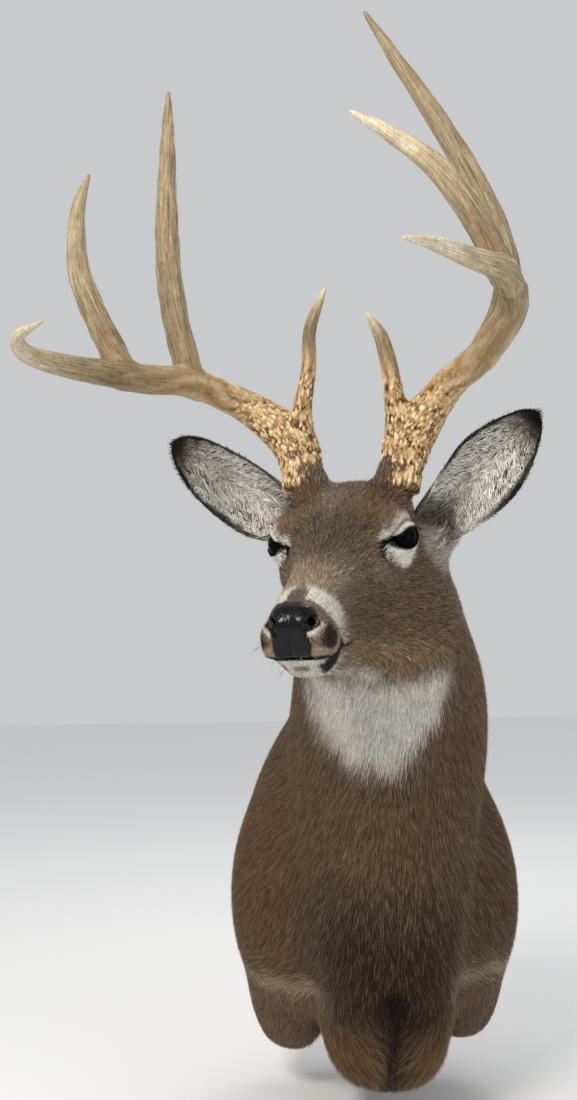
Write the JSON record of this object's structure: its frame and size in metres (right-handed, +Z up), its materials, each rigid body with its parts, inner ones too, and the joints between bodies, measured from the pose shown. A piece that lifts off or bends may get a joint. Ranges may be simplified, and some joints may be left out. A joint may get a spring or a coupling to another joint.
{
  "type": "whitetail buck shoulder mount",
  "caption": "Life-size taxidermy head, neck and shoulders of an antlered whitetail buck, head turned to one side, on a flush back board that hangs on a wall.",
  "frame": {"origin": "middle of the back board's rear face, in the plane of the wall", "axes": "+Z up, +Y into the wall, so the mount stands out towards -Y; +X towards the deer's left shoulder"},
  "size_m": [0.5107, 0.6875, 1.0502],
  "materials": {
    "coat": "short grey-brown winter deer hair over tanned hide, white on the throat and round the eyes and muzzle",
    "nose_skin": "bare black pebbled skin, lacquered to look wet",
    "eye": "polished dark brown glass taxidermy eye",
    "antler": "bone, stained brown and pearled at the base, pale and worn smooth at the tips",
    "board": "plain sawn plywood",
    "steel": "zinc-plated sheet"
  },
  "bodies": {
    "root": {"head": "coat", "neck": "coat", "chest": "coat", "brisket": "coat", "shoulder_left": "coat", "shoulder_right": "coat", "foreleg_left": "coat", "foreleg_right": "coat", "ear_left": "coat", "ear_right": "coat", "nose_pad": "nose_skin", "eye_left": "eye", "eye_right": "eye", "antler_left_base": "antler", "antler_left_beam": "antler", "antler_left_beam_tip": "antler", "antler_left_brow_tine": "antler", "antler_left_second_tine": "antler", "antler_left_third_tine": "antler", "antler_right_base": "antler", "antler_right_beam": "antler", "antler_right_beam_tip": "antler", "antler_right_brow_tine": "antler", "antler_right_second_tine": "antler", "antler_right_third_tine": "antler", "back_board": "board", "hanger": "steel"}
  },
  "joints": []
}
